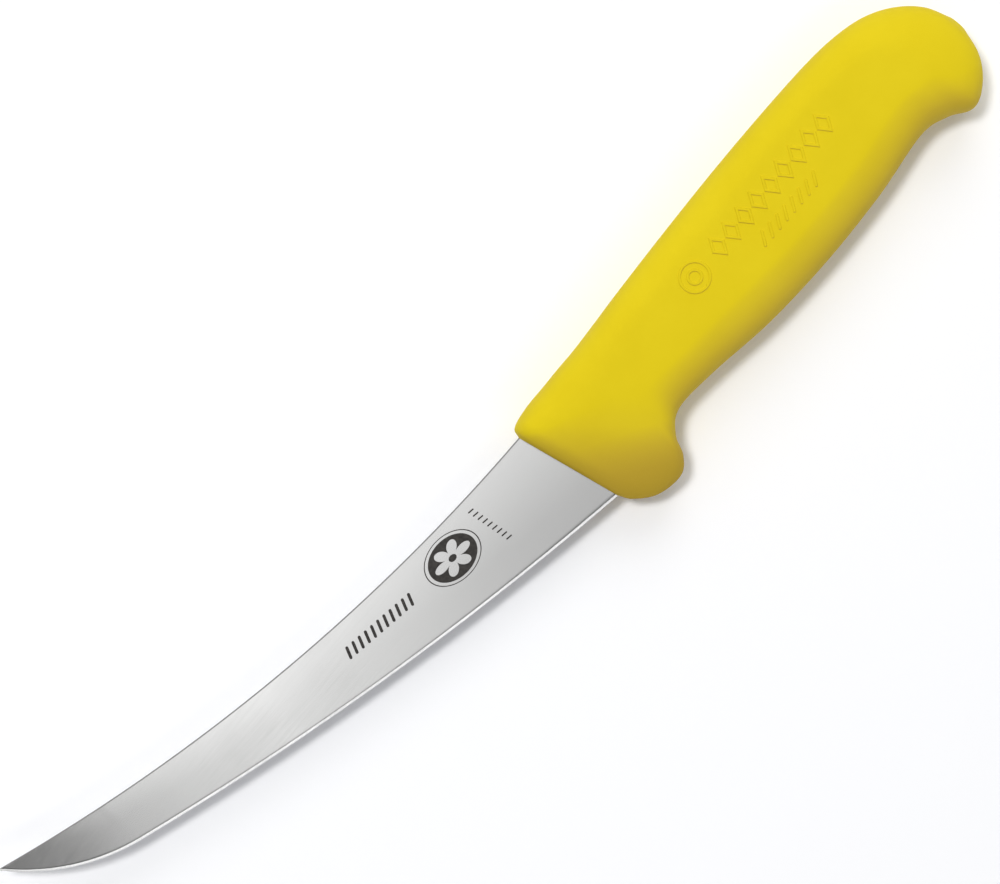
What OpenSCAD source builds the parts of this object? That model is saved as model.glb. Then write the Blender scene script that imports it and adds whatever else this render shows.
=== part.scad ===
// Boning knife with a curved blade: a ground steel blade and tang, a rigid inner core moulded
// round the tang, and a soft grip moulded over the core. All sizes are in millimetres.
//
// Working frame, used by every module below: the knife lies on its side, +X runs along the
// handle to the butt, +Y points to the spine side, +Z is up and z = 0 is the middle of the blade.
// The blade leaves the handle at x = 0. in_place() then moves every part so that the knife's
// bounding box stands on z = 0 with its middle over the origin.

/* [Blade] */
// Straight distance that the blade's tip stands ahead of the handle
blade_length = 146; // [136:1:152]
// Height of the spine above the handle's axis where the blade enters the handle
spine_y = 12.3; // [11:0.1:13]
// Depth of the cutting edge below the handle's axis where the blade enters the handle
heel_y = 11.7; // [10:0.1:12]
// Radius of the spine's one long curve
spine_radius = 430; // [400:5:460]
// Radius of the cutting edge's long curve
edge_radius = 733; // [680:1:800]
// Slope of the cutting edge at the handle, in degrees
edge_slope = 9.1; // [8.5:0.1:9.5]
// Distance ahead of the handle at which the belly's tighter curve begins
belly_start = 121; // [112:1:124]
// Thickness of the steel strip, as the tang keeps it inside the handle
stock_thickness = 1.5; // [1.4:0.1:2]
// Thickness between the flat bands beside the spine, outside the handle
flat_thickness = 1.4; // [1.2:0.05:1.4]
// Height of the tapered ground faces above the cutting edge
grind_height = 15; // [12:0.5:17]
// Thickness of the blade just behind the sharpened bevel
behind_edge_thickness = 0.3; // [0.2:0.05:0.5]
// Height of the sharpened bevel
bevel_height = 0.5; // [0.3:0.1:1]
// Thickness left at the very edge
edge_land = 0.06; // [0.04:0.01:0.1]

/* [Tang] */
// Length of full-width steel inside the handle, up to the shoulders
shoulder_length = 9; // [6:0.5:12]
// Distance from the handle's front to the tang's rounded end
tang_length = 86; // [70:1:92]
// Width of the tang
tang_width = 11; // [9:0.5:12]
// Height of the tang's middle above the handle's axis
tang_y = 2.4; // [1:0.1:3]
// Diameter of the lock holes that the plastic flows through
lock_hole_d = 5; // [4:0.5:6]
// Distance of the first lock hole behind the handle's front
first_hole_x = 19; // [16:0.5:21]
// Spacing of the lock holes
hole_pitch = 19; // [16:0.5:20]
// Number of lock holes
hole_count = 4; // [1:1:4]

/* [Core] */
// Distance of the core's front end behind the handle's front
core_start = 28; // [27:0.5:32]
// Distance of the core's rear end behind the handle's front
core_end = 112; // [100:1:114]
// Thickness of the core
core_thickness = 12; // [8:0.5:13]
// Width of the keying grooves across the core
groove_width = 3; // [2:0.5:4]
// Number of keying grooves on each side
groove_count = 6; // [2:1:6]

/* [Grip] */
// Thickness of the handle over the flat lands of its sides
handle_thickness = 21; // [20:0.5:21.5]
// Depth behind the front face over which its rim is rounded
front_depth = 3.6; // [2:0.2:5]
// Share of the thickness that this rounding takes off at the front face itself
front_drop = 0.4; // [0.2:0.05:0.45]
// How far the thumb facet falls from the side's land to the guard's front corner
facet_drop = 8.1; // [6:0.1:8.3]
// Blending radius of the ridge between the side and the thumb facet
ridge_blend = 0.8; // [0.3:0.1:2]
// Rings per step of the outline
rings_per_step = 4; // [2:1:4]
// Points round each ring
ring_points = 40; // [24:4:56]

/* [Hidden] */

steel_colour = [0.80, 0.80, 0.79];
core_colour = [0.25, 0.26, 0.27];
grip_colour = [0.90, 0.79, 0.10];

// The handle's outline as two rails of points that face each other across the handle, from the
// front face to the butt: the spine side, then the edge side with guard, finger recess and hook.
upper_rail = [
    [-1.9, 12.2], [-0.8, 14.4], [4, 15.3], [10, 15.4], [15, 15.5], [20, 15.5],
    [26, 15.8], [36, 16.4], [52, 17.1], [70, 17.6], [88, 17.6], [102, 17.1],
    [111, 15.7], [117, 13.5], [121.8, 10.1], [125.3, 5.8], [127.2, 0.6]
];
lower_rail = [
    [2.4, -12], [4, -15.1], [8.3, -18.6], [14.5, -19.7], [18.2, -17.3], [20.6, -13.1],
    [25.5, -10], [36, -10.6], [52, -12.9], [70, -13.8], [88, -13.3], [104, -11.7],
    [111, -13.6], [116, -16.6], [121, -14.6], [125, -10.3], [127.2, -4.6]
];
// Half of the thickness that the sides' crown would have at each step, before the lands.
crown = [9.4, 9.5, 9.7, 9.9, 10.2, 10.4, 10.7, 10.8, 10.8, 11, 11, 10.8, 10.6, 10, 8.7, 6.5, 3.4];
// Where the two rails meet at the middle of the butt.
butt_point = [127.7, -2];
// How square the rings are towards each edge of the outline: 2 is an ellipse, more is squarer.
front_squareness = 4.2;
spine_squareness = 3.4;
belly_squareness = 2.3;
butt_squareness = 2.3;
// How square they are towards the two sides.
side_squareness = 2.8;
// Steps of the rails over which the squareness changes from the front's to each side's, and on
// to the butt's.
spine_change = [0, 6];
belly_change = [3, 6];
butt_change = [10, 14];

// Thumb facet ahead of the ridge: it falls off along this direction from its top line, ever more
// steeply, and it bends up and away from the handle behind that line.
facet_direction = [-0.763, -0.647];
facet_top = 10.7;
facet_top_at = -25;
facet_reach = 31;
facet_power = 2.3;
facet_release = 40;
// How square the facet's own edge is towards the outline.
guard_squareness = 6;

// Segments of the arcs that draw the blade, the tang and the core.
spine_steps = 40;
edge_steps = 30;
belly_steps = 20;
corner_steps = 6;
end_steps = 18;
side_steps = 14;
hole_fn = 48;
groove_fn = 32;
grind_fn = 720;

half_stock = stock_thickness / 2;
half_flat = flat_thickness / 2;
half_core = core_thickness / 2;
land_z = handle_thickness / 2;
spare = 1;
tiny = 0.000001;

// ---------- Curves ----------

// Points of an arc, from angle a0 to a1.
function arc(centre, r, a0, a1, steps) =
    [for (i = [0 : steps]) let (a = a0 + (a1 - a0) * i / steps) centre + r * [cos(a), sin(a)]];

function angle_of(v) = atan2(v[1], v[0]);

// Smooth curve through a list: value at position s, where s = 0 is the first entry.
function entry(list, i) = list[max(0, min(len(list) - 1, i))];
function on_curve(list, s) =
    let (
        i = min(floor(s), len(list) - 2),
        t = s - i,
        p1 = list[i],
        p2 = list[i + 1],
        p0 = i == 0 ? 2 * p1 - p2 : entry(list, i - 1),
        p3 = i == len(list) - 2 ? 2 * p2 - p1 : entry(list, i + 2)
    )
    (2 * p1 + (p2 - p0) * t + (2 * p0 - 5 * p1 + 4 * p2 - p3) * pow(t, 2)
        + (3 * p1 - p0 - 3 * p2 + p3) * pow(t, 3)) / 2;

function ramp(x, from, to) = let (t = max(0, min(1, (x - from) / (to - from)))) t * t * (3 - 2 * t);
function mix(a, b, t) = a + (b - a) * t;

// Smaller of two heights, rounded off over the distance r where they cross.
function soft_min(a, b, r) =
    let (h = max(0, min(1, 0.5 + 0.5 * (b - a) / r))) mix(b, a, h) - r * h * (1 - h);

// ---------- Blade and tang ----------

tip = [-blade_length, spine_y + spine_radius - sqrt(pow(spine_radius, 2) - pow(blade_length, 2))];
spine_centre = [0, spine_y + spine_radius];
edge_centre = [edge_radius * sin(edge_slope), edge_radius * cos(edge_slope) - heel_y];
belly_point = [
    -belly_start,
    edge_centre[1] - sqrt(pow(edge_radius, 2) - pow(belly_start + edge_centre[0], 2))
];
// The belly's curve leaves the long curve smoothly and ends at the tip.
belly_normal = (edge_centre - belly_point) / edge_radius;
tip_chord = tip - belly_point;
belly_radius = (tip_chord * tip_chord) / (2 * tip_chord * belly_normal);
belly_centre = belly_point + belly_radius * belly_normal;

tang_top = tang_y + tang_width / 2;
tang_bottom = tang_y - tang_width / 2;
tang_end_x = tang_length - tang_width / 2;
shoulder_fillet = 2.5;
shoulder_corner = 2;
corner_x = shoulder_length - shoulder_corner;
fillet_x = shoulder_length + shoulder_fillet;

// Height of the cutting edge's long curve at x.
function edge_y(x) = edge_centre[1] - sqrt(pow(edge_radius, 2) - pow(x - edge_centre[0], 2));
heel_end_y = edge_y(corner_x);

blade_outline = concat(
    arc(spine_centre, spine_radius, angle_of(tip - spine_centre), -90, spine_steps),
    arc([corner_x, spine_y - shoulder_corner], shoulder_corner, 90, 0, corner_steps),
    arc([fillet_x, tang_top + shoulder_fillet], shoulder_fillet, 180, 270, corner_steps),
    arc([tang_end_x, tang_y], tang_width / 2, 90, -90, end_steps),
    arc([fillet_x, tang_bottom - shoulder_fillet], shoulder_fillet, 90, 180, corner_steps),
    arc([corner_x, heel_end_y + shoulder_corner], shoulder_corner, 0, -90, corner_steps),
    arc(edge_centre, edge_radius, angle_of([0, -heel_y] - edge_centre),
        angle_of(belly_point - edge_centre), edge_steps),
    // Without the end points, which the long curve and the spine already give.
    [for (i = [1 : belly_steps - 1]) let (a = mix(angle_of(belly_point - belly_centre),
        angle_of(tip - belly_centre), i / belly_steps)) belly_centre + belly_radius * [cos(a), sin(a)]]
);

// The long curve's grinding runs on a little way above the belly's, so that no sliver is left.
grind_overlap = 0.4;
// Angle that the belly's grinding sweeps on past the tip.
belly_sweep = 25;
// The grinding tools stand this much past the steel at the edge.
edge_overrun = 0.1;

// Steel that grinding takes off one side, swept round the centre of a curve of the edge.
module ground_away(centre, r, a0, a1) {
    slope = (half_flat - behind_edge_thickness / 2) / (grind_height - bevel_height);
    bevel_slope = (behind_edge_thickness - edge_land) / 2 / bevel_height;
    translate([centre[0], centre[1], 0])
        rotate([0, 0, a0])
            rotate_extrude(angle = a1 - a0, $fn = grind_fn)
                polygon([
                    [r - grind_height - 2 * spare, half_flat + 2 * spare * slope],
                    [r - bevel_height, behind_edge_thickness / 2],
                    [r + edge_overrun, edge_land / 2 - bevel_slope * edge_overrun],
                    [r + spare, edge_land / 2 - bevel_slope * edge_overrun],
                    [r + spare, half_stock + spare],
                    [r - grind_height - 2 * spare, half_stock + spare]
                ]);
}

// Flat grinding ends this far ahead of the handle's front face.
flat_end_gap = 0.3;

// Steel that flat grinding takes off one side, up to a line along the handle's front face.
module flat_ground_away() {
    across = upper_rail[0] - lower_rail[0];
    translate([-flat_end_gap, 0, half_flat])
        linear_extrude(height = half_stock - half_flat + spare)
            polygon([
                lower_rail[0] - across,
                upper_rail[0] + across,
                upper_rail[0] + across - [2 * blade_length, 0],
                lower_rail[0] - across - [2 * blade_length, 0]
            ]);
}

module blade_steel() {
    difference() {
        translate([0, 0, -half_stock])
            linear_extrude(height = stock_thickness)
                polygon(blade_outline);
        for (side = [0, 1])
            mirror([0, 0, side]) {
                flat_ground_away();
                ground_away(edge_centre, edge_radius,
                    angle_of(belly_point - edge_centre) - grind_overlap,
                    angle_of([shoulder_length + spare, edge_y(shoulder_length)] - edge_centre));
                ground_away(belly_centre, belly_radius,
                    angle_of(tip - belly_centre) - belly_sweep,
                    angle_of(belly_point - belly_centre));
            }
        for (i = [0 : hole_count - 1])
            translate([first_hole_x + i * hole_pitch, tang_y, -half_stock - spare])
                cylinder(d = lock_hole_d, h = stock_thickness + 2 * spare, $fn = hole_fn);
    }
}

// ---------- Core ----------

core_front_r = 6;
core_front_y = 3.6;
core_rear_r = 8.5;
core_rear_y = 2;
core_rear_turn = -84;
// The core's long sides are arcs across its middle, each bulging away from its centre: the middle
// of the arc, its radius and the angle that it spans.
core_middle_x = 72;
core_belly_y = -8;
core_belly_r = 39;
core_belly_span = 28;
core_back_y = 13;
core_back_r = 103;
core_back_span = 16;
groove_reach = 60;

module core_outline() {
    belly_centre = [core_middle_x, core_belly_y + core_belly_r];
    back_centre = [core_middle_x, core_back_y - core_back_r];
    polygon(concat(
        arc([core_start + core_front_r, core_front_y], core_front_r, 90, 270, end_steps),
        arc(belly_centre, core_belly_r, 270 - core_belly_span / 2, 270 + core_belly_span / 2, side_steps),
        arc([core_end - core_rear_r, core_rear_y], core_rear_r, core_rear_turn, 90, end_steps),
        arc(back_centre, core_back_r, 90 - core_back_span / 2, 90 + core_back_span / 2, side_steps)
    ));
}

// The core as it would be with no tang in it.
module core_block() {
    pitch = (core_end - core_start - 2 * core_rear_r) / (groove_count - 1);
    difference() {
        translate([0, 0, -half_core])
            linear_extrude(height = core_thickness)
                core_outline();
        for (i = [0 : groove_count - 1], side = [-1, 1])
            translate([core_start + core_rear_r + i * pitch, 0, side * half_core])
                rotate([90, 0, 0])
                    cylinder(d = groove_width, h = groove_reach, center = true, $fn = groove_fn);
    }
}

// ---------- Grip ----------

steps = len(upper_rail) - 1;
front_line = (upper_rail[0] - lower_rail[0]) / norm(upper_rail[0] - lower_rail[0]);
front_normal = [front_line[1], -front_line[0]];

// Distance of a point behind the plane of the front face.
function behind_front(p) = (p - lower_rail[0]) * front_normal;

function facet_z(p) =
    let (q = p * facet_direction - facet_top_at)
    facet_top + (q > 0 ? -facet_drop * pow(q / facet_reach, facet_power) : q * q / 2 / facet_release);

// Share of the height that the front face's rounding leaves.
function front_share(p) =
    let (d = max(0, min(1, 1 - behind_front(p) / front_depth)))
    1 - front_drop * (1 - sqrt(1 - d * d));

// Squareness at step s of the rails, towards the spine's edge or the belly's.
function squareness(s, edge_squareness, change) =
    mix(mix(front_squareness, edge_squareness, ramp(s, change[0], change[1])),
        butt_squareness, ramp(s, butt_change[0], butt_change[1]));

// One ring of the handle's surface at step s of the rails.
function ring(s) =
    let (
        u = on_curve(upper_rail, s),
        l = on_curve(lower_rail, s),
        h = on_curve(crown, s)
    )
    [for (k = [0 : ring_points - 1]) let (
        a = 360 * k / ring_points,
        square = cos(a) > 0 ? squareness(s, spine_squareness, spine_change)
            : squareness(s, belly_squareness, belly_change),
        v = sign(cos(a)) * pow(abs(cos(a)), 2 / square),
        p = (u + l) / 2 + (u - l) / 2 * v,
        side = h * pow(abs(sin(a)), 2 / side_squareness),
        facet = facet_z(p) * sqrt(1 - pow(abs(v), guard_squareness)),
        z = soft_min(side, facet, max(tiny, ridge_blend * abs(sin(a)))) * front_share(p)
    ) [p[0], p[1], sign(sin(a)) * min(z, land_z)]];

module grip_skin() {
    ring_count = steps * rings_per_step + 1;
    points = concat(
        [for (i = [0 : ring_count - 1]) each ring(i / rings_per_step)],
        [[butt_point[0], butt_point[1], 0]]
    );
    butt_index = ring_count * ring_points;
    front = [for (k = [0 : ring_points - 1]) k];
    sides = [for (i = [0 : ring_count - 2], k = [0 : ring_points - 1])
        let (
            a = i * ring_points + k,
            b = i * ring_points + (k + 1) % ring_points,
            c = a + ring_points,
            d = b + ring_points
        )
        each [[a, c, b], [b, c, d]]];
    butt = [for (k = [0 : ring_points - 1])
        [(ring_count - 1) * ring_points + k, butt_index,
            (ring_count - 1) * ring_points + (k + 1) % ring_points]];
    polyhedron(points = points, faces = concat([front], sides, butt), convexity = 6);
}

// ---------- Parts ----------

guard_y = min([for (i = [0 : steps * rings_per_step]) on_curve(lower_rail, i / rings_per_step)[1]]);
middle_x = (tip[0] + butt_point[0]) / 2;
middle_y = (tip[1] + guard_y) / 2;

module in_place() {
    translate([-middle_x, -middle_y, land_z])
        children();
}

module blade() {
    color(steel_colour)
        in_place()
            blade_steel();
}

module handle_core() {
    color(core_colour)
        in_place()
            difference() {
                core_block();
                blade_steel();
            }
}

module handle_grip() {
    color(grip_colour)
        in_place()
            difference() {
                grip_skin();
                core_block();
                blade_steel();
            }
}

blade();
handle_core();
handle_grip();
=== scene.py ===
"""Boning knife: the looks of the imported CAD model, lying on a white table and seen from above.

Sizes inside the functions are millimetres in the knife's working frame, as in the CAD source:
x = 0 is the handle's front, +X runs to the butt, +Y to the spine and z = 0 is the blade's middle.
to_frame() turns them into metres in the shared frame.
"""

import math

import bpy
import numpy as np
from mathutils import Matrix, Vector
from mathutils.bvhtree import BVHTree


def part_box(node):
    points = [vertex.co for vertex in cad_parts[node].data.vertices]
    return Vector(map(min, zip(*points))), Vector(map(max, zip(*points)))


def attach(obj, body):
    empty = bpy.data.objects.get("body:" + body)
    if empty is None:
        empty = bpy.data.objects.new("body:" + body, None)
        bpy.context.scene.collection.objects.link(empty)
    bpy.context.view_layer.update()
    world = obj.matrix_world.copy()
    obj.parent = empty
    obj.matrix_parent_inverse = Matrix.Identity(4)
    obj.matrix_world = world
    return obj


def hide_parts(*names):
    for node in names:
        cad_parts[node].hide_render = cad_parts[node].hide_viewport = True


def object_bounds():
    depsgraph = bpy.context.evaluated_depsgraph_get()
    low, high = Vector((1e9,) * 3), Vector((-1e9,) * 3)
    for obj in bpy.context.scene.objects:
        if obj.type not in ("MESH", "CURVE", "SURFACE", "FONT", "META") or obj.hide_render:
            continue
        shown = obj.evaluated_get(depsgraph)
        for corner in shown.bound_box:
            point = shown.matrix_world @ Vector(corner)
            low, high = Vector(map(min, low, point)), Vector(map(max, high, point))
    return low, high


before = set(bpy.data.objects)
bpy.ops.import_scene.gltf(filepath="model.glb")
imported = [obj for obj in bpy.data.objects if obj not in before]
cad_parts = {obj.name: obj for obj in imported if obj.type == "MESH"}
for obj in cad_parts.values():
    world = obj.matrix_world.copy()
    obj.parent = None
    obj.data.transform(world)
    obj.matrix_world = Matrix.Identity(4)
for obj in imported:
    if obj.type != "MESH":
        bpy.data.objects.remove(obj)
cad_low, cad_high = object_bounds()

MM = 0.001
TINY = 1e-6

# ---------------------------------------------------------------- driving dimensions, in mm

BLADE_LENGTH = 146
SPINE_Y = 12.3
HEEL_Y = 11.7
SPINE_RADIUS = 430
EDGE_RADIUS = 733
EDGE_SLOPE = math.radians(9.1)
BELLY_START = 121
STOCK_HALF = 0.75
FLAT_HALF = 0.7
GRIND_HEIGHT = 15
BEHIND_EDGE_HALF = 0.15
BEVEL_HEIGHT = 0.5
EDGE_HALF = 0.03
BURR_HEIGHT = 0.16
BURR_DEPTH = 0.016
SPINE_BREAK = 0.3
SPINE_DROP = 0.18
GRIND_BLEND = 0.35
SHOULDER_X = 9
TANG_END = 86
TANG_WIDTH = 11
TANG_Y = 2.4
SHOULDER_FILLET = 2.5
SHOULDER_CORNER = 2
LOCK_HOLE_D = 5
FIRST_HOLE_X = 19
HOLE_PITCH = 19
HOLE_COUNT = 4
LOCK_HOLES = [FIRST_HOLE_X + HOLE_PITCH * i for i in range(HOLE_COUNT)]

UPPER_RAIL = np.array([
    (-1.9, 12.2), (-0.8, 14.4), (4, 15.3), (10, 15.4), (15, 15.5), (20, 15.5),
    (26, 15.8), (36, 16.4), (52, 17.1), (70, 17.6), (88, 17.6), (102, 17.1),
    (111, 15.7), (117, 13.5), (121.8, 10.1), (125.3, 5.8), (127.2, 0.6),
])
LOWER_RAIL = np.array([
    (2.4, -12), (4, -15.1), (8.3, -18.6), (14.5, -19.7), (18.2, -17.3), (20.6, -13.1),
    (25.5, -10), (36, -10.6), (52, -12.9), (70, -13.8), (88, -13.3), (104, -11.7),
    (111, -13.6), (116, -16.6), (121, -14.6), (125, -10.3), (127.2, -4.6),
])
CROWN = np.array([
    9.4, 9.5, 9.7, 9.9, 10.2, 10.4, 10.7, 10.8, 10.8, 11, 11, 10.8, 10.6, 10, 8.7, 6.5, 3.4,
])
BUTT_POINT = np.array([127.7, -2])
FRONT_SQUARENESS = 4.2
SPINE_SQUARENESS = 3.4
BELLY_SQUARENESS = 2.3
BUTT_SQUARENESS = 2.3
# Steps of the rails over which the squareness changes from the front's to each side's, and on to
# the butt's.
SPINE_CHANGE = (0, 6)
BELLY_CHANGE = (3, 6)
BUTT_CHANGE = (10, 14)
# The grip's marks stand up from its sides by this height and reach the CAD's land, so the skin
# itself is lower than the CAD's by as much.
RELIEF = 0.2
FACET_DIRECTION = np.array([-0.763, -0.647])
FACET_TOP = 10.7 - RELIEF
FACET_TOP_AT = -25
FACET_REACH = 31
FACET_DROP = 8.1
FACET_POWER = 2.3
FACET_RELEASE = 40
GUARD_SQUARENESS = 6
SIDE_SQUARENESS = 2.8
RIDGE_BLEND = 0.8
FRONT_DEPTH = 3.6
FRONT_DROP = 0.4
LAND_Z = 10.5 - RELIEF
LAND_BLEND = 0.3
SEAM_DEPTH = 0.07
SEAM_HALF_WIDTH = 0.24

TIP = np.array([-BLADE_LENGTH, SPINE_Y + SPINE_RADIUS - math.sqrt(SPINE_RADIUS**2 - BLADE_LENGTH**2)])

blade_low, blade_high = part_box("blade")
grip_low, grip_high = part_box("handle_grip")
ORIGIN = np.array([
    blade_low.x / MM + BLADE_LENGTH,
    blade_high.y / MM - TIP[1],
    (grip_low.z + grip_high.z) / 2 / MM,
])


def to_frame(points):
    """Working-frame millimetres to shared-frame metres."""
    return (np.asarray(points, float) + ORIGIN) * MM


# ---------------------------------------------------------------- small maths

def mix(a, b, t):
    return a + (b - a) * t


def ramp(x, start, end):
    t = np.clip((np.asarray(x, float) - start) / (end - start), 0, 1)
    return t * t * (3 - 2 * t)


def soft_min(a, b, r):
    """The smaller of two heights, rounded off over r where they cross."""
    h = np.clip(0.5 + 0.5 * (b - a) / np.maximum(r, TINY), 0, 1)
    return mix(b, a, h) - r * h * (1 - h)


def on_curve(values, s):
    """Smooth curve through values at positions s, where s = 0 is the first value."""
    values = np.asarray(values, float)
    last = len(values) - 2
    padded = np.concatenate([[2 * values[0] - values[1]], values, [2 * values[-1] - values[-2]]])
    i = np.clip(np.floor(s).astype(int), 0, last)
    t = s - i
    p0, p1, p2, p3 = (padded[i + k] for k in range(4))
    if values.ndim > 1:
        t = t[:, None]
    return (2 * p1 + (p2 - p0) * t + (2 * p0 - 5 * p1 + 4 * p2 - p3) * t**2
            + (3 * p1 - p0 - 3 * p2 + p3) * t**3) / 2


# ---------------------------------------------------------------- materials

class Shader:
    """A node material with one Principled shader, and short calls for the nodes used here.

    Noise scales are waves per metre, and bump distances and heights are metres.
    """

    def __init__(self, name):
        self.material = bpy.data.materials.new(name)
        self.material.use_nodes = True
        self.tree = self.material.node_tree
        self.surface = self.tree.nodes["Principled BSDF"]
        self.coords = self.tree.nodes.new("ShaderNodeTexCoord").outputs["Object"]

    def set(self, **values):
        for name, value in values.items():
            self.surface.inputs[name.replace("_", " ")].default_value = value

    def link(self, output, target):
        self.tree.links.new(output, target)

    def mapped(self, scale, turn=0.0):
        node = self.tree.nodes.new("ShaderNodeMapping")
        node.inputs["Scale"].default_value = scale
        node.inputs["Rotation"].default_value = (0, 0, turn)
        self.link(self.coords, node.inputs["Vector"])
        return node.outputs["Vector"]

    def noise(self, scale, detail=3.0, roughness=0.55, vector=None):
        node = self.tree.nodes.new("ShaderNodeTexNoise")
        node.inputs["Scale"].default_value = scale
        node.inputs["Detail"].default_value = detail
        node.inputs["Roughness"].default_value = roughness
        self.link(vector or self.coords, node.inputs["Vector"])
        return node.outputs["Fac"]

    def span(self, value, low, high, from_low=0.3, from_high=0.7):
        node = self.tree.nodes.new("ShaderNodeMapRange")
        node.inputs["From Min"].default_value = from_low
        node.inputs["From Max"].default_value = from_high
        node.inputs["To Min"].default_value = low
        node.inputs["To Max"].default_value = high
        self.link(value, node.inputs["Value"])
        return node.outputs["Result"]

    def blend(self, factor, first, second):
        """Mixes two colours, each given as numbers or as a node's output."""
        node = self.tree.nodes.new("ShaderNodeMix")
        node.data_type = "RGBA"
        self.link(factor, node.inputs[0])
        for entry, target in ((first, node.inputs[6]), (second, node.inputs[7])):
            if isinstance(entry, tuple):
                target.default_value = (*entry, 1)
            else:
                self.link(entry, target)
        return node.outputs[2]

    def along(self, vector, direction):
        """Share of a vector along a direction in the plane of the knife."""
        node = self.tree.nodes.new("ShaderNodeVectorMath")
        node.operation = "DOT_PRODUCT"
        self.link(vector, node.inputs[0])
        node.inputs[1].default_value = (*direction, 0)
        return node.outputs["Value"]

    def distance(self, direction, start, full):
        """Share from 0 to 1 between two distances along a direction of the working frame, in mm."""
        start, full = ((ORIGIN[:2] @ direction + d) * MM for d in (start, full))
        return self.span(self.along(self.coords, direction), 0, 1, start, full)

    def bump(self, *layers):
        """Stacked bumps: each layer is (height output, distance)."""
        normal = None
        for height, distance in layers:
            node = self.tree.nodes.new("ShaderNodeBump")
            node.inputs["Strength"].default_value = 1.0
            node.inputs["Distance"].default_value = distance
            self.link(height, node.inputs["Height"])
            if normal is not None:
                self.link(normal, node.inputs["Normal"])
            normal = node.outputs["Normal"]
        self.link(normal, self.surface.inputs["Normal"])


# The plastic's colour carries painted shade: deeper on surfaces that lean to the belly's side,
# deeper yet along the belly and deepest at the guard's front, where the handle turns from the light.
BELLY_SIDE = np.array([-0.5, -0.866])
# Surfaces that lean to the belly's side between these shares get painted shade.
SHADE_LEAN_START, SHADE_LEAN_FULL = 0.1, 0.7
# Painted shade along the belly: where it starts and where it is full, in mm, and its colour.
BELLY_SHADE_START, BELLY_SHADE_FULL = -3, 6
BELLY_SHADE_COLOUR = (0.590, 0.404, 0.037)
# Painted shade at the guard's front: where it starts and where it is full, in mm, and its colour.
FRONT_SHADE_START, FRONT_SHADE_FULL = -9, 6
FRONT_SHADE_COLOUR = (0.520, 0.352, 0.032)


def grip_material():
    """Yellow moulded plastic with a fine matt grain and faint handling polish, and painted shade in its
    colour.
    """
    m = Shader("grip_plastic")
    m.set(IOR=1.5, Specular_IOR_Level=0.08)
    grain = m.noise(5200, detail=2.0)
    mottle = m.noise(70, detail=4.0)
    polish = m.noise(38, detail=5.0, roughness=0.6)
    light = m.blend(m.span(mottle, 0.0, 1.0), (0.748, 0.578, 0.011), (0.774, 0.604, 0.013))
    # deep is a shaded copy of the yellow, mixed in as painted shade.
    deep = m.blend(m.span(mottle, 0.0, 1.0), (0.655, 0.469, 0.032), (0.680, 0.491, 0.038))
    normal = m.tree.nodes.new("ShaderNodeTexCoord").outputs["Normal"]
    lean = m.span(m.along(normal, BELLY_SIDE), 0, 1, SHADE_LEAN_START, SHADE_LEAN_FULL)
    # Painted shade along the belly's side of the grip.
    belly_shade = m.distance(BELLY_SIDE, BELLY_SHADE_START, BELLY_SHADE_FULL)
    # Painted shade towards the guard's front.
    front = m.distance(FACET_DIRECTION, FRONT_SHADE_START, FRONT_SHADE_FULL)
    # The yellow with its painted shade from leaning and from the belly.
    shaded_yellow = m.blend(belly_shade, m.blend(lean, light, deep), BELLY_SHADE_COLOUR)
    m.link(m.blend(front, shaded_yellow, FRONT_SHADE_COLOUR), m.surface.inputs["Base Color"])
    m.link(m.span(polish, 0.60, 0.72), m.surface.inputs["Roughness"])
    m.bump((grain, 0.00003), (mottle, 0.00012))
    return m.material


def core_material():
    """Dark rigid plastic, as moulded."""
    m = Shader("core_plastic")
    m.set(IOR=1.5, Base_Color=(0.03, 0.03, 0.033, 1))
    m.link(m.span(m.noise(120), 0.5, 0.65), m.surface.inputs["Roughness"])
    m.bump((m.noise(3000), 0.00002))
    return m.material


def steel_material(name, tint, roughness, grain_turn, grain_depth):
    """Ground stainless steel whose fine grinding lines run at an angle to the X axis."""
    m = Shader(name)
    m.set(Metallic=1.0, Base_Color=(*tint, 1))
    lines = m.noise(1.0, detail=3.0, vector=m.mapped((60, 9000, 9000), grain_turn))
    bands = m.noise(1.0, detail=2.0, vector=m.mapped((12, 700, 700), grain_turn))
    smears = m.noise(45, detail=5.0)
    rough = m.tree.nodes.new("ShaderNodeMath")
    rough.operation = "ADD"
    m.link(m.span(lines, roughness - 0.03, roughness + 0.03), rough.inputs[0])
    m.link(m.span(smears, -0.02, 0.03), rough.inputs[1])
    m.link(rough.outputs["Value"], m.surface.inputs["Roughness"])
    m.bump((lines, grain_depth), (bands, grain_depth * 1.5))
    return m.material


def etch_material():
    """Dark, dull etched steel."""
    m = Shader("etched_mark")
    m.set(Metallic=0.2)
    m.link(m.blend(m.span(m.noise(1500), 0, 1), (0.030, 0.028, 0.026), (0.06, 0.055, 0.05)),
           m.surface.inputs["Base Color"])
    m.link(m.span(m.noise(900), 0.5, 0.65), m.surface.inputs["Roughness"])
    return m.material


# ---------------------------------------------------------------- mesh helpers

def new_piece(name, points, faces, material, smooth=True, face_materials=None):
    """A mesh object from working-frame points, riding on the knife's one body."""
    mesh = bpy.data.meshes.new(name)
    mesh.from_pydata([tuple(p) for p in to_frame(points)], [], [tuple(map(int, f)) for f in faces])
    mesh.validate()
    materials = material if isinstance(material, (list, tuple)) else [material]
    for entry in materials:
        mesh.materials.append(entry)
    if face_materials is not None:
        mesh.polygons.foreach_set("material_index", np.asarray(face_materials, np.int32))
    mesh.polygons.foreach_set("use_smooth", [smooth] * len(mesh.polygons))
    mesh.update()
    piece = bpy.data.objects.new(name, mesh)
    bpy.context.scene.collection.objects.link(piece)
    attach(piece, "root")
    return piece


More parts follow.
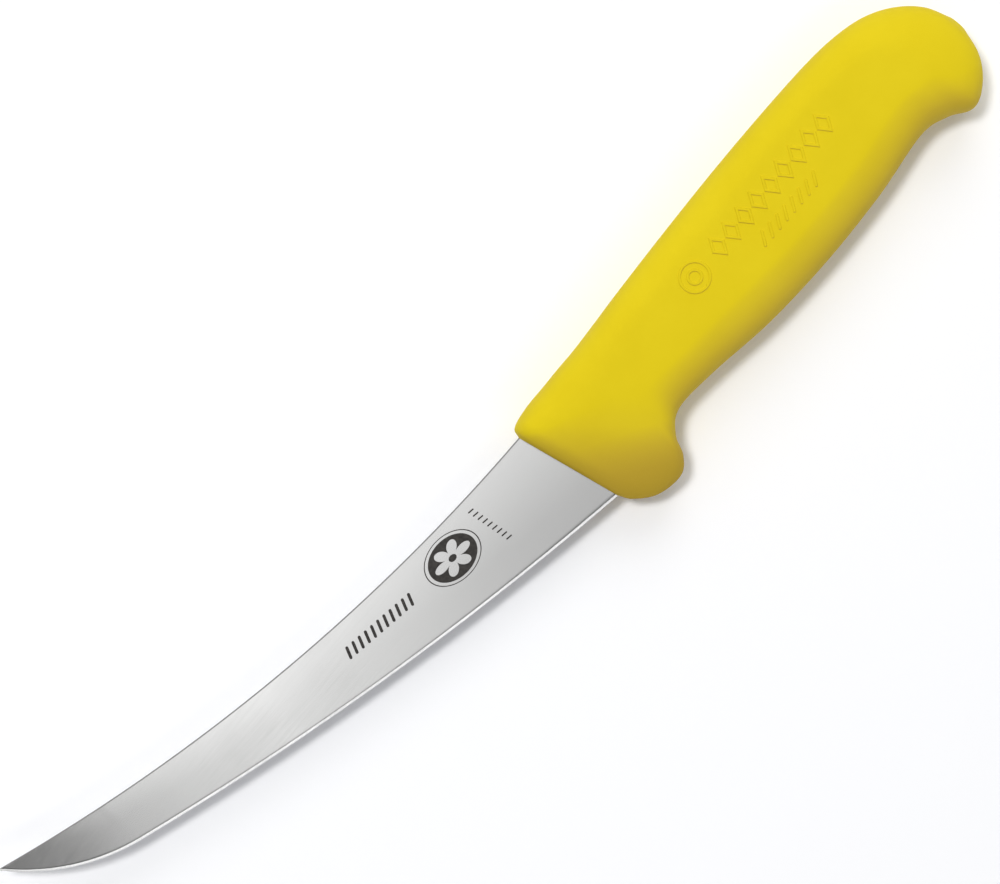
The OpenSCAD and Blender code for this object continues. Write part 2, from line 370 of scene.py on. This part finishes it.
def grid_faces(rows, columns, closed):
    """Quads between successive rows of points; closed joins the last column to the first."""
    faces = []
    for i in range(rows - 1):
        for k in range(columns if closed else columns - 1):
            a = i * columns + k
            b = i * columns + (k + 1) % columns
            faces.append((a, a + columns, b + columns, b))
    return faces


def sharpen(piece, angle):
    """Marks the edges that bend by more than the angle as sharp."""
    piece.data.set_sharp_from_angle(angle=angle)


def segment_outline(a, b, w, steps=6):
    """Loop at distance w round the segment from a to b."""
    a, b = np.asarray(a, float), np.asarray(b, float)
    turn = math.atan2(*(b - a)[::-1])
    half = np.linspace(-np.pi / 2, np.pi / 2, steps + 1)
    ends = [(b, turn + half), (a, turn + np.pi + half)]
    return np.concatenate([end + w * np.column_stack([np.cos(t), np.sin(t)]) for end, t in ends])


def polar_outline(centre, turn, radius, steps=96):
    """Loop round a centre, with radius(angle) giving its two half axes' share at each angle."""
    t = 2 * np.pi * np.arange(steps) / steps
    x, y = radius(t)
    along = np.array([math.cos(turn), math.sin(turn)])
    across = np.array([-along[1], along[0]])
    return np.asarray(centre) + x[:, None] * along + y[:, None] * across


class Solids:
    """Closed solids lofted through loops, collected for one mesh."""

    def __init__(self):
        self.points, self.faces = [], []

    def loft(self, loops, ring=False):
        """Joins loops of equal length; a ring closes on itself and anything else gets two caps."""
        n = len(loops[0])
        first = len(self.points)
        for loop in loops:
            self.points += [tuple(p) for p in loop]
        pairs = len(loops) if ring else len(loops) - 1
        for i in range(pairs):
            a, b = first + i * n, first + (i + 1) % len(loops) * n
            self.faces += [(a + k, a + (k + 1) % n, b + (k + 1) % n, b + k) for k in range(n)]
        if not ring:
            self.cap(first, n, flip=True)
            self.cap(first + (len(loops) - 1) * n, n, flip=False)

    def cap(self, start, n, flip):
        centre = np.mean(self.points[start:start + n], axis=0)
        self.points.append(tuple(centre))
        hub = len(self.points) - 1
        for k in range(n):
            a, b = start + k, start + (k + 1) % n
            self.faces.append((b, a, hub) if flip else (a, b, hub))


def lifted(loop, surface, height, side=1):
    """The flat loop laid on a surface, height above it, on the upper or the lower side."""
    return np.column_stack([loop, side * (surface(loop) + height)])


# ---------------------------------------------------------------- grip

RING_POINTS = 208
SILHOUETTE_DENSITY = 1.8
FRONT_STEPS = 2
FRONT_RINGS = 26
FRONT_DENSITY = 1.6
BODY_RINGS = 250
SLOT_CLEARANCE = 0.08
SLOT_DEPTH = 3.0
SLOT_SQUARENESS = 0.12
GRIP_CREASE = math.radians(35)

front_line = UPPER_RAIL[0] - LOWER_RAIL[0]
front_line = front_line / np.linalg.norm(front_line)
front_normal = np.array([front_line[1], -front_line[0]])


def facet_z(p):
    """Height of the thumb facet ahead of the ridge."""
    q = p @ FACET_DIRECTION - FACET_TOP_AT
    fall = FACET_DROP * (np.maximum(q, 0) / FACET_REACH) ** FACET_POWER
    return FACET_TOP - np.where(q > 0, fall, -q * q / 2 / FACET_RELEASE)


def front_share(p):
    """Share of the height that the front face's rounding leaves."""
    behind = (p - LOWER_RAIL[0]) @ front_normal
    d = np.clip(1 - behind / FRONT_DEPTH, 0, 1)
    return 1 - FRONT_DROP * (1 - np.sqrt(1 - d**2))


def ring_angles():
    """Angles of a ring's points, closer together at the two silhouettes."""
    quarter = RING_POINTS // 4
    t = (np.arange(quarter) / quarter) ** SILHOUETTE_DENSITY
    u = 1 - (1 - np.arange(quarter) / quarter) ** SILHOUETTE_DENSITY
    return np.pi / 2 * np.concatenate([t, 1 + u, 2 + t, 3 + u])


def squareness(s, side_squareness, change):
    """Squareness of the rings towards one side, at step positions s."""
    beside = mix(FRONT_SQUARENESS, side_squareness, ramp(s, *change))
    return mix(beside, BUTT_SQUARENESS, ramp(s, *BUTT_CHANGE))


def grip_rings(s):
    """Points of the grip's skin: one ring of RING_POINTS for each step position in s."""
    upper, lower, crown = on_curve(UPPER_RAIL, s), on_curve(LOWER_RAIL, s), on_curve(CROWN, s)
    upper_square = squareness(s, SPINE_SQUARENESS, SPINE_CHANGE)
    lower_square = squareness(s, BELLY_SQUARENESS, BELLY_CHANGE)
    a = ring_angles()
    cosine, sine = np.cos(a)[None, :], np.sin(a)[None, :]
    sine[np.abs(sine) < TINY] = 0
    square = np.where(cosine > 0, upper_square[:, None], lower_square[:, None])
    v = np.sign(cosine) * np.abs(cosine) ** (2 / square)
    middle, half = (upper + lower) / 2, (upper - lower) / 2
    p = middle[:, None, :] + half[:, None, :] * v[:, :, None]
    facet = facet_z(p) * np.sqrt(1 - np.abs(v) ** GUARD_SQUARENESS)
    side = crown[:, None] * np.abs(sine) ** (2 / SIDE_SQUARENESS)
    z = soft_min(side, facet, RIDGE_BLEND * np.abs(sine)) * front_share(p)
    z = soft_min(z, np.full_like(z, LAND_Z), LAND_BLEND)
    seam = SEAM_DEPTH * np.clip(1 - z / SEAM_HALF_WIDTH, 0, 1)
    p = p - (half / np.linalg.norm(half, axis=1)[:, None])[:, None, :] * (np.sign(v) * seam)[:, :, None]
    return np.concatenate([p, (np.sign(sine) * z)[:, :, None]], axis=2)


def ring_positions():
    """Step positions of the rings, closer together over the front face's rounding."""
    front = np.linspace(0, 1, FRONT_RINGS) ** FRONT_DENSITY * FRONT_STEPS
    body = np.linspace(FRONT_STEPS, len(UPPER_RAIL) - 1, BODY_RINGS)[1:]
    return np.concatenate([front, body])


def slot_loop():
    """The blade's slot in the front face, as a ring of RING_POINTS flat points."""
    a = ring_angles()
    y = np.sign(np.cos(a)) * np.abs(np.cos(a)) ** SLOT_SQUARENESS
    z = np.sign(np.sin(a)) * np.abs(np.sin(a)) ** SLOT_SQUARENESS
    top = SPINE_Y + SLOT_CLEARANCE
    bottom = -HEEL_Y - SLOT_CLEARANCE
    height = (top + bottom) / 2 + (top - bottom) / 2 * y
    on_front = LOWER_RAIL[0] + front_line * ((height - LOWER_RAIL[0][1]) / front_line[1])[:, None]
    return np.column_stack([on_front, z * (FLAT_HALF + SLOT_CLEARANCE)])


def grip_piece(material):
    """The grip's skin from the blade's slot to the butt, as one closed mesh."""
    rings = grip_rings(ring_positions())
    count = rings.shape[0]
    mouth = slot_loop()
    deep = mouth + np.array([*front_normal, 0]) * SLOT_DEPTH
    points = np.concatenate([deep, mouth, rings.reshape(-1, 3), [[*BUTT_POINT, 0]]])
    faces = grid_faces(count + 2, RING_POINTS, closed=True)
    faces.append(tuple(range(RING_POINTS)))
    last_ring = (count + 1) * RING_POINTS
    butt = len(points) - 1
    faces += [(last_ring + k, butt, last_ring + (k + 1) % RING_POINTS) for k in range(RING_POINTS)]
    outward = [face[::-1] for face in faces]
    piece = new_piece("handle_grip_skin", points, outward, material)
    sharpen(piece, GRIP_CREASE)
    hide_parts("handle_grip")
    return piece


# Raised marks on both sides of the grip, all plain shapes: two rings, one inside the other, a row
# of diamonds and a row of slanted bars.
STROKE = 0.37
STROKE_SLOPE = 0.17
STROKE_SINK = 0.3
RING_MARK = (48.4, 5.9)
RING_MARK_RADII = (3.3, 1.5)
DIAMONDS = [(56.6 + 4.3 * i, 6.3) for i in range(9)]
DIAMOND_HALF = (1.55, 2.3)
BAR_ROW = {"centre": (72.5, 0.0), "length": 16.7, "height": 3.0, "count": 8,
           "slant": math.radians(35)}


def bar_row(centre, length, height, count, slant, turn=0.0):
    """Ends of the slanted bars of a row."""
    along = np.array([math.cos(turn), math.sin(turn)])
    lean = turn + math.pi / 2 - slant
    reach = np.array([math.cos(lean), math.sin(lean)]) * height / 2
    places = np.linspace(-length / 2, length / 2, count)
    return [(np.asarray(centre) + place * along - reach, np.asarray(centre) + place * along + reach)
            for place in places]


def raised(solids, outline, surface, side):
    """A mark with sloping edges; outline(w) is its loop at distance w from its middle line."""
    loops = [lifted(outline(STROKE), surface, -STROKE_SINK, side),
             lifted(outline(STROKE), surface, 0, side),
             lifted(outline(STROKE - STROKE_SLOPE), surface, RELIEF, side)]
    solids.loft(loops if side > 0 else loops[::-1])


def circle(radius):
    """Gives the outline function of the circle when it has grown by a distance."""
    return lambda grow: lambda t: ((radius + grow) * np.cos(t), (radius + grow) * np.sin(t))


def diamond(half):
    """Gives the outline function of the diamond when its sides have moved out by a distance."""
    x, y = half
    side = math.hypot(x, y)
    return lambda grow: lambda t: ((x + grow * side / y) * np.cos(t) * np.abs(np.cos(t)),
                                   (y + grow * side / x) * np.sin(t) * np.abs(np.sin(t)))


def raised_ring(solids, centre, shape, surface, side):
    """A closed stroke with sloping edges round a centre."""
    def loop(grow, height):
        return lifted(polar_outline(centre, 0, shape(grow)), surface, height, side)
    flat = STROKE - STROKE_SLOPE
    loops = [loop(STROKE, -STROKE_SINK), loop(STROKE, 0), loop(flat, RELIEF),
             loop(-flat, RELIEF), loop(-STROKE, 0), loop(-STROKE, -STROKE_SINK)]
    solids.loft(loops if side > 0 else loops[::-1], ring=True)


def grip_marks(material, skin):
    """Raised marks laid on the skin's two sides."""
    tree = BVHTree.FromObject(skin, bpy.context.evaluated_depsgraph_get())

    def surface(loop):
        heights = []
        for x, y in loop:
            start = Vector(to_frame((x, y, 2 * LAND_Z)))
            hit = tree.ray_cast(start, Vector((0, 0, -1)))[0]
            heights.append(hit.z / MM - ORIGIN[2])
        return np.array(heights)

    solids = Solids()
    for side in (1, -1):
        for radius in RING_MARK_RADII:
            raised_ring(solids, RING_MARK, circle(radius), surface, side)
        for centre in DIAMONDS:
            raised_ring(solids, centre, diamond(DIAMOND_HALF), surface, side)
        for a, b in bar_row(**BAR_ROW):
            raised(solids, lambda w, a=a, b=b: segment_outline(a, b, w), surface, side)
    marks = new_piece("handle_grip_marks", solids.points, solids.faces, material)
    sharpen(marks, GRIP_CREASE)


# ---------------------------------------------------------------- blade

def circle_through_tip():
    """Centre and radius of the belly's curve, which leaves the long curve smoothly."""
    centre = np.array([EDGE_RADIUS * math.sin(EDGE_SLOPE), EDGE_RADIUS * math.cos(EDGE_SLOPE) - HEEL_Y])
    start_y = centre[1] - math.sqrt(EDGE_RADIUS**2 - (BELLY_START + centre[0]) ** 2)
    start = np.array([-BELLY_START, start_y])
    normal = (centre - start) / EDGE_RADIUS
    chord = TIP - start
    radius = chord @ chord / (2 * chord @ normal)
    return centre, start + radius * normal, radius


EDGE_CENTRE, BELLY_CENTRE, BELLY_RADIUS = circle_through_tip()


def rounded(x, start, radius):
    """Depth by which a corner's quarter circle has turned in at x, from its start."""
    run = min(max(x - start, 0), radius)
    return radius - math.sqrt(radius**2 - run**2)


def spine_y(x):
    """Height of the back of the blade and of its shoulder inside the handle."""
    curve = SPINE_Y + SPINE_RADIUS - math.sqrt(SPINE_RADIUS**2 - min(x, 0) ** 2)
    return curve - rounded(x, SHOULDER_X - SHOULDER_CORNER, SHOULDER_CORNER)


def edge_y(x):
    """Height of the cutting edge and of the lower shoulder."""
    if x < -BELLY_START:
        return BELLY_CENTRE[1] - math.sqrt(max(BELLY_RADIUS**2 - (x - BELLY_CENTRE[0]) ** 2, 0))
    curve = EDGE_CENTRE[1] - math.sqrt(EDGE_RADIUS**2 - (x - EDGE_CENTRE[0]) ** 2)
    return curve + rounded(x, SHOULDER_X - SHOULDER_CORNER, SHOULDER_CORNER)


def tang_half_width(x):
    """Half width of the tang: a fillet at the shoulders, straight sides and a round end."""
    straight = TANG_WIDTH / 2
    into_end = max(x - (TANG_END - straight), 0)
    fillet = SHOULDER_FILLET - rounded(SHOULDER_X + SHOULDER_FILLET - x, 0, SHOULDER_FILLET)
    if x > SHOULDER_X + SHOULDER_FILLET:
        return math.sqrt(max(straight**2 - into_end**2, 0))
    return straight + SHOULDER_FILLET - fillet


def above_edge(p):
    """Distance of points from the cutting edge's curve."""
    from_long = EDGE_RADIUS - np.linalg.norm(p - EDGE_CENTRE, axis=-1)
    from_belly = BELLY_RADIUS - np.linalg.norm(p - BELLY_CENTRE, axis=-1)
    return np.where(p[..., 0] < -BELLY_START, from_belly, from_long)


def blade_half(p):
    """Half thickness of the ground blade at points p."""
    e = above_edge(p)
    slope = (FLAT_HALF - BEHIND_EDGE_HALF) / (GRIND_HEIGHT - BEVEL_HEIGHT)
    ground = BEHIND_EDGE_HALF + (e - BEVEL_HEIGHT) * slope
    ground = ground - BURR_DEPTH * np.clip(1 - (e - BEVEL_HEIGHT) / BURR_HEIGHT, 0, 1)
    bevel = EDGE_HALF + np.clip(e, 0, None) * (BEHIND_EDGE_HALF - BURR_DEPTH - EDGE_HALF) / BEVEL_HEIGHT
    flat = soft_min(ground, np.full_like(ground, FLAT_HALF), GRIND_BLEND)
    return np.where(e < BEVEL_HEIGHT, bevel, flat)


# Positions across the blade: the bevel, the narrow band above it, the ground face and the broken
# corner of the spine.
BEVEL_STEPS = 4
BURR_STEPS = 2
FACE_STEPS = 40
CORNER_STEPS = 4
CORNER_POWER = 1.3
# Where the blade is narrower than this, at the tip, its bevel and corners narrow with it.
NARROW_WIDTH = 2.4
TIP_RUN = 30
TIP_ROWS = 60
TIP_START = 0.002
LONG_ROWS = 150
TANG_ROWS = 12
CORNER_ROWS = 7
TANG_END_ROWS = 16
TANG_END_TURN = math.radians(88)
LOCK_HOLE_STEPS = 48
BLADE_CREASE = math.radians(8)


def blade_section(x):
    """One side of the blade's section at x: points from the edge to the spine's middle."""
    low, high = edge_y(x), spine_y(x)
    width = high - low
    narrow = np.clip(width / NARROW_WIDTH, 0, 1)
    bevel, burr, corner = BEVEL_HEIGHT * narrow, BURR_HEIGHT * narrow, SPINE_BREAK * narrow
    y = np.concatenate([
        low + bevel * np.linspace(0, 1, BEVEL_STEPS + 1),
        low + bevel + burr * np.linspace(0, 1, BURR_STEPS + 1)[1:],
        np.linspace(low + bevel + burr, high - corner, FACE_STEPS + 1)[1:],
    ])
    side = np.column_stack([np.full_like(y, x), y])
    z = blade_half(side)
    top = z[-1]
    t = np.linspace(0, 1, CORNER_STEPS + 1)[1:]
    corner_y = high - corner + corner * t
    corner_z = top - min(SPINE_DROP, top / 2) * t**CORNER_POWER
    y = np.concatenate([y, corner_y])
    z = np.concatenate([z, corner_z])
    return np.column_stack([np.full_like(y, x), y, z])


def tang_section(x, count):
    """One side of the tang's section at x, as count points from its lower to its upper edge."""
    half = tang_half_width(x)
    y = np.linspace(TANG_Y - half, TANG_Y + half, count)
    return np.column_stack([np.full_like(y, x), y, np.full_like(y, STOCK_HALF)])


def cut_lock_holes(piece):
    """Cuts the tang's lock holes out of the blade's mesh."""
    cylinders = Solids()
    for x in LOCK_HOLES:
        rim = polar_outline((x, TANG_Y), 0, circle(LOCK_HOLE_D / 2)(0), LOCK_HOLE_STEPS)
        ends = (-LOCK_HOLE_D, LOCK_HOLE_D)
        cylinders.loft([np.column_stack([rim, np.full(len(rim), z)]) for z in ends])
    mesh = bpy.data.meshes.new("lock_holes")
    mesh.from_pydata([tuple(p) for p in to_frame(cylinders.points)], [], cylinders.faces)
    cutter = bpy.data.objects.new("lock_holes", mesh)
    bpy.context.scene.collection.objects.link(cutter)
    cut = piece.modifiers.new("lock_holes", "BOOLEAN")
    cut.operation = "DIFFERENCE"
    cut.solver = "EXACT"
    cut.object = cutter
    graph = bpy.context.evaluated_depsgraph_get()
    piece.data = bpy.data.meshes.new_from_object(piece.evaluated_get(graph))
    piece.modifiers.clear()
    bpy.data.objects.remove(cutter)
    bpy.data.meshes.remove(mesh)


def blade_piece(steel, bevel_steel):
    """The ground blade from the tip to the shoulders inside the handle, and the tang behind it."""
    tip_run = TIP[0] + TIP_RUN * np.linspace(TIP_START, 1, TIP_ROWS) ** 2
    shoulder = SHOULDER_X - SHOULDER_CORNER * (1 - np.sin(np.linspace(0, np.pi / 2, CORNER_ROWS)))
    long_run = np.linspace(tip_run[-1], shoulder[0], LONG_ROWS)[1:-1]
    x = np.concatenate([tip_run, long_run, shoulder])
    sides = [blade_section(value) for value in x]
    fillet = SHOULDER_X + SHOULDER_FILLET * (1 - np.cos(np.linspace(0, np.pi / 2, CORNER_ROWS)))
    straight = TANG_END - TANG_WIDTH / 2
    round_end = straight + TANG_WIDTH / 2 * np.sin(np.linspace(0, TANG_END_TURN, TANG_END_ROWS))
    tang_run = np.linspace(fillet[-1], straight, TANG_ROWS)[1:-1]
    for value in np.concatenate([fillet, tang_run, round_end]):
        sides.append(tang_section(value, len(sides[0])))
    rows = [np.concatenate([side, side[::-1] * (1, 1, -1)]) for side in sides]
    columns = len(rows[0])
    points = np.concatenate([*rows, [[*TIP, 0]]])
    faces = grid_faces(len(rows), columns, closed=True)
    on_bevel = [row < len(x) - 1 and (min(k, columns - 2 - k) < BEVEL_STEPS or k == columns - 1)
                for row in range(len(rows) - 1) for k in range(columns)]
    tip = len(points) - 1
    fan = [(k, (k + 1) % columns, tip) for k in range(columns)]
    end = [tuple((len(rows) - 1) * columns + k for k in range(columns))[::-1]]
    slots = [1 if bevel else 0 for bevel in on_bevel] + [0] * (len(fan) + len(end))
    piece = new_piece("blade_body", points, faces + fan + end, [steel, bevel_steel],
                      face_materials=slots)
    cut_lock_holes(piece)
    sharpen(piece, BLADE_CREASE)
    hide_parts("blade")


# Etched marks on the blade's upper side, all plain shapes: an oval with a rosette, and two rows
# of slanted dashes.
ETCH_HEIGHT = 0.012
ETCH_SINK = 0.1
ETCH_LINE = 0.09
OVAL_CENTRE = (-30.9, 6.4)
OVAL_TURN = math.radians(-4.5)
OVAL_HALF = (7.2, 5.1)
OVAL_INNER = 0.86
PETALS = 6
PETAL_OUT, PETAL_IN = 0.70, 0.26
PETAL_POWER = 0.8
HUB = 0.14
DASH_ROW = {"centre": (-52.3, 8.9), "length": 17.6, "height": 2.3, "count": 11,
            "slant": math.radians(18), "turn": math.radians(-8.8)}
DASH_HALF = 0.34
TICK_ROW = {"centre": (-20.1, 5.0), "length": 10.0, "height": 1.2, "count": 9,
            "slant": math.radians(15), "turn": math.radians(-84)}
TICK_HALF = 0.16


def oval(share):
    """Radius function of the emblem's oval, scaled by a share or by a function of the angle."""
    def radius(t):
        scale = share(t) if callable(share) else share
        return OVAL_HALF[0] * scale * np.cos(t), OVAL_HALF[1] * scale * np.sin(t)
    return radius


def rosette(t):
    """Share of the oval's size that the rosette of petals reaches at each angle."""
    return PETAL_IN + (PETAL_OUT - PETAL_IN) * np.abs(np.cos(PETALS * t / 2)) ** PETAL_POWER


def etched_plate(solids, outline):
    """A thin solid plate on the blade's upper side, inside a loop."""
    solids.loft([lifted(outline, blade_half, -ETCH_SINK), lifted(outline, blade_half, ETCH_HEIGHT)])


def etched_band(solids, outer, inner, steps=240):
    """A thin band between two loops round the emblem's centre."""
    outer, inner = (polar_outline(OVAL_CENTRE, OVAL_TURN, oval(r), steps) for r in (outer, inner))
    loops = [lifted(outer, blade_half, -ETCH_SINK), lifted(outer, blade_half, ETCH_HEIGHT),
             lifted(inner, blade_half, ETCH_HEIGHT), lifted(inner, blade_half, -ETCH_SINK)]
    solids.loft(loops, ring=True)


def blade_marks(material):
    """The emblem and the two rows of dashes."""
    solids = Solids()
    line = ETCH_LINE / OVAL_HALF[1]
    etched_band(solids, 1, 1 - 2 * line)
    etched_band(solids, OVAL_INNER, rosette)
    etched_plate(solids, polar_outline(OVAL_CENTRE, OVAL_TURN, oval(HUB)))
    for row, half in ((DASH_ROW, DASH_HALF), (TICK_ROW, TICK_HALF)):
        for a, b in bar_row(**row):
            etched_plate(solids, segment_outline(a, b, half))
    new_piece("blade_marks", solids.points, solids.faces, material, smooth=False)


# ---------------------------------------------------------------- table, light and camera

FRAME_WIDTH = 0.216
CAMERA_HEIGHT = 0.7
CAMERA_TURN = math.radians(-49.7)
CAMERA_AIM = (-5.2, 14.8, 0)
CAMERA_CLIP_END = 20
SENSOR = 36.0
TABLE_REACH = 3.0
TABLE_GAP = 0.00002
# The table gives off a little light of its own, as a lit light table does.
TABLE_GLOW = (0.034, 0.039, 0.050)


def table_top():
    """The white table just under the knife."""
    mesh = bpy.data.meshes.new("table")
    corners = [(TABLE_REACH * x, TABLE_REACH * y, 0) for x, y in ((-1, -1), (1, -1), (1, 1), (-1, 1))]
    mesh.from_pydata(corners, [], [(0, 1, 2, 3)])
    shader = Shader("table_white")
    shader.set(Base_Color=(0.985, 0.985, 0.995, 1), Roughness=0.9, Specular_IOR_Level=0.0,
               Emission_Color=(*TABLE_GLOW, 1), Emission_Strength=1.0)
    mesh.materials.append(shader.material)
    floor = bpy.data.objects.new("table", mesh)
    floor.location.z = cad_low.z - TABLE_GAP
    bpy.context.scene.collection.objects.link(floor)


def area_light(name, view_azimuth, tilt, distance, size, power):
    """A round softbox aimed at the knife, with angles in degrees and 90 at the view's top."""
    azimuth, tilt = math.radians(view_azimuth) + CAMERA_TURN, math.radians(tilt)
    aim = Vector(to_frame((0, 0, 0)))
    across = math.sin(tilt)
    away = Vector((across * math.cos(azimuth), across * math.sin(azimuth), math.cos(tilt)))
    light = bpy.data.lights.new(name, "AREA")
    light.shape = "DISK"
    light.size = size
    light.energy = power
    lamp = bpy.data.objects.new(name, light)
    lamp.location = aim + distance * away
    lamp.rotation_euler = (-away).to_track_quat("-Z", "Y").to_euler()
    lamp.visible_glossy = False
    bpy.context.scene.collection.objects.link(lamp)


# The studio round the knife is a dim room, bright on one side and all round its horizon, with a
# softbox overhead whose brightness changes along X and which ends in a dark flag on the edge's side.
# Positions in it are shares of a unit direction along one axis, so 0 is straight up.
ROOM_BRIGHT_SIDE = (0.904, 0.427, 0)
ROOM_TURN = 0.6
ROOM_DIM, ROOM_BRIGHT = 0.08, 0.42
HORIZON_BRIGHT = 0.42
HORIZON_FULL, HORIZON_END = 0.27, 0.45
SOFTBOX_UPWARD = (0.496, 0.869, 0)
SOFTBOX_TILT_START, SOFTBOX_TILT_END = -0.17, 0.10
SOFTBOX_TILT_LOW, SOFTBOX_TILT_HIGH = 0.55, 1.4
SOFTBOX_START, SOFTBOX_FULL = 0.86, 0.94
SOFTBOX_REACH = 0.5
SOFTBOX_STOPS = [
    (-0.30, 0.30), (-0.23, 0.45), (-0.19, 1.10), (-0.16, 1.74), (-0.135, 2.12), (-0.09, 1.55),
    (-0.03, 1.02), (0.05, 0.76), (0.30, 0.60),
]
# The flag's edge, in the same terms, and the share of the light that it leaves.
FLAG_START, FLAG_FULL, FLAG_LEFT = 0.15, 0.24, 0.15
# A strip softbox on the edge's side, which the sharpened bevel reflects.
STRIP_REACH = 1.0
STRIP_SIDE = (-0.42, -0.907, 0)
STRIP_STOPS = [(-1.0, 0), (0.345, 0), (0.39, 1.6), (0.52, 1.6), (0.58, 0)]
STRIP_WINDOW = (0.76, 0.84)


class World:
    """Short calls for the nodes of the studio's world."""

    def __init__(self, name):
        self.world = bpy.data.worlds.new(name)
        self.world.use_nodes = True
        self.tree = self.world.node_tree
        self.direction = self.tree.nodes.new("ShaderNodeTexCoord").outputs["Generated"]

    def along(self, axis):
        node = self.tree.nodes.new("ShaderNodeVectorMath")
        node.operation = "DOT_PRODUCT"
        self.tree.links.new(self.direction, node.inputs[0])
        node.inputs[1].default_value = axis
        return node.outputs["Value"]

    def span(self, value, start, end, low, high):
        node = self.tree.nodes.new("ShaderNodeMapRange")
        node.interpolation_type = "SMOOTHSTEP"
        for name, number in (("From Min", start), ("From Max", end), ("To Min", low), ("To Max", high)):
            node.inputs[name].default_value = number
        self.tree.links.new(value, node.inputs["Value"])
        return node.outputs["Result"]

    def stops(self, value, reach, stops):
        """A smooth brightness curve through (position, brightness) stops within +-reach."""
        node = self.tree.nodes.new("ShaderNodeValToRGB")
        node.color_ramp.interpolation = "EASE"
        elements = node.color_ramp.elements
        while len(elements) < len(stops):
            elements.new(0.5)
        for element, (x, brightness) in zip(elements, stops):
            element.position = (x + reach) / (2 * reach)
            element.color = (brightness, brightness, brightness, 1)
        spread = self.tree.nodes.new("ShaderNodeMapRange")
        spread.inputs["From Min"].default_value = -reach
        spread.inputs["From Max"].default_value = reach
        self.tree.links.new(value, spread.inputs["Value"])
        self.tree.links.new(spread.outputs["Result"], node.inputs["Fac"])
        return node.outputs["Color"]

    def mixed(self, factor, first, second, blend_type="MIX"):
        node = self.tree.nodes.new("ShaderNodeMix")
        node.data_type = "RGBA"
        node.blend_type = blend_type
        if isinstance(factor, float):
            node.inputs[0].default_value = factor
        else:
            self.tree.links.new(factor, node.inputs[0])
        self.tree.links.new(first, node.inputs[6])
        self.tree.links.new(second, node.inputs[7])
        return node.outputs[2]


def studio_world():
    """The studio's light from all round, which the steel reflects."""
    w = World("studio")
    room = w.span(w.along(ROOM_BRIGHT_SIDE), -ROOM_TURN, ROOM_TURN, ROOM_DIM, ROOM_BRIGHT)
    horizon = w.span(w.along((0, 0, 1)), HORIZON_FULL, HORIZON_END, HORIZON_BRIGHT, 0)
    room = w.mixed(1.0, room, horizon, "LIGHTEN")
    tilt = w.span(w.along(SOFTBOX_UPWARD), SOFTBOX_TILT_START, SOFTBOX_TILT_END,
                  SOFTBOX_TILT_LOW, SOFTBOX_TILT_HIGH)
    overhead = w.stops(w.along((1, 0, 0)), SOFTBOX_REACH, SOFTBOX_STOPS)
    overhead = w.mixed(1.0, overhead, tilt, "MULTIPLY")
    inside = w.span(w.along((0, 0, 1)), SOFTBOX_START, SOFTBOX_FULL, 0, 1)
    flag = w.span(w.along((0, -1, 0)), FLAG_START, FLAG_FULL, 1, FLAG_LEFT)
    main = w.mixed(inside, room, w.mixed(1.0, overhead, flag, "MULTIPLY"))
    strip = w.stops(w.along(STRIP_SIDE), STRIP_REACH, STRIP_STOPS)
    strip = w.mixed(1.0, strip, w.span(w.along((0, 0, 1)), *STRIP_WINDOW, 0, 1), "MULTIPLY")
    w.tree.links.new(w.mixed(1.0, main, strip, "ADD"), w.tree.nodes["Background"].inputs["Color"])
    bpy.context.scene.world = w.world


def lighting():
    """Two softboxes and the studio round them."""
    area_light("key", view_azimuth=150, tilt=14, distance=1.4, size=0.22, power=8.75)
    area_light("side", view_azimuth=84, tilt=48, distance=1.5, size=0.9, power=4.6)
    studio_world()


def camera():
    """A camera straight above the knife, turned so that the blade points to the lower left."""
    data = bpy.data.cameras.new("camera")
    data.sensor_width = SENSOR
    data.lens = SENSOR * CAMERA_HEIGHT / FRAME_WIDTH
    data.clip_end = CAMERA_CLIP_END
    holder = bpy.data.objects.new("camera", data)
    aim = to_frame(CAMERA_AIM)
    holder.location = (aim[0], aim[1], aim[2] + CAMERA_HEIGHT)
    holder.rotation_euler = (0, 0, CAMERA_TURN)
    bpy.context.scene.collection.objects.link(holder)
    bpy.context.scene.camera = holder


camera()
table_top()
lighting()
bpy.context.scene.view_settings.view_transform = "Standard"

grip_plastic = grip_material()
grip_marks(grip_plastic, grip_piece(grip_plastic))
blade_marks(etch_material())
blade_piece(
    steel_material("blade_steel", tint=(0.66, 0.66, 0.655), roughness=0.13, grain_turn=0.0,
                   grain_depth=0.0000012),
    steel_material("bevel_steel", tint=(0.86, 0.86, 0.86), roughness=0.26,
                   grain_turn=math.radians(70), grain_depth=0.000001),
)
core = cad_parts["handle_core"]
core.data.materials.clear()
core.data.materials.append(core_material())
